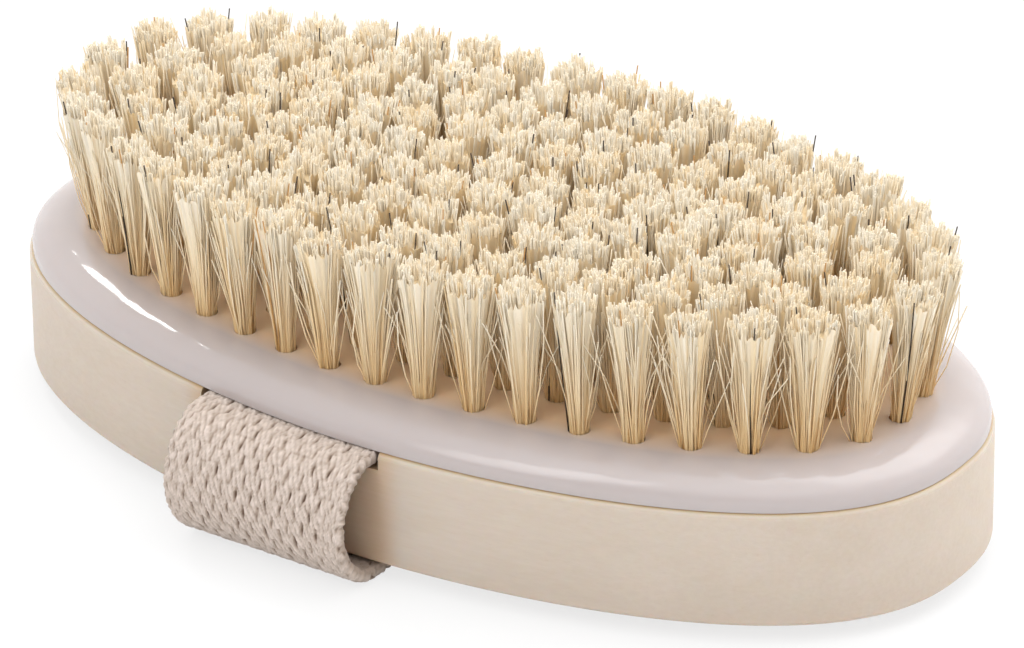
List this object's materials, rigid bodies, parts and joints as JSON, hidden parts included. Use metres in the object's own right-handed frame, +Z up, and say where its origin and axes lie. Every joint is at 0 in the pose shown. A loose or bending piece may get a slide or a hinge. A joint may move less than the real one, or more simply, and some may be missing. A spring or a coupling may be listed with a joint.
{
  "type": "body brush",
  "caption": "Oval palm brush for dry body brushing: a wooden back, a moulded plate with tufts of natural bristle, and a cotton hand strap.",
  "frame": {"origin": "under the middle of the brush, on the plane that the strap rests on when the brush lies with its bristles up", "axes": "+X along the brush, +Y across it, +Z up through the wood towards the bristle tips"},
  "size_m": [0.128, 0.0828, 0.0388],
  "materials": {
    "pale_wood": "bare, finely sanded pale wood",
    "milky_plastic": "milky, slightly translucent, glossy moulding",
    "pale_bristle": "cut natural bristle, cream with a few dark hairs",
    "cotton_webbing": "coarse unbleached cotton webbing",
    "staple_steel": "bright steel wire"
  },
  "bodies": {
    "brush_body": {"wood_back": "pale_wood", "bristle_plate": "milky_plastic", "tufts_ring_1_right": "pale_bristle", "tufts_ring_1_back": "pale_bristle", "tufts_ring_1_left": "pale_bristle", "tufts_ring_1_front": "pale_bristle", "tufts_ring_2_right": "pale_bristle", "tufts_ring_2_back": "pale_bristle", "tufts_ring_2_left": "pale_bristle", "tufts_ring_2_front": "pale_bristle", "tufts_ring_3_right": "pale_bristle", "tufts_ring_3_back": "pale_bristle", "tufts_ring_3_left": "pale_bristle", "tufts_ring_3_front": "pale_bristle", "tufts_ring_4_right": "pale_bristle", "tufts_ring_4_back": "pale_bristle", "tufts_ring_4_left": "pale_bristle", "tufts_ring_4_front": "pale_bristle", "tufts_middle_row": "pale_bristle", "strap_staple_front_left": "staple_steel", "strap_staple_front_right": "staple_steel", "strap_staple_back_left": "staple_steel", "strap_staple_back_right": "staple_steel"},
    "strap_band": {"hand_strap": "cotton_webbing"}
  },
  "joints": [
    {"name": "strap_slack", "type": "slide", "parent": "brush_body", "child": "strap_band", "axis": [0, 0, -1], "range_m": [0, 0.016], "deforming": ["hand_strap"]}
  ]
}
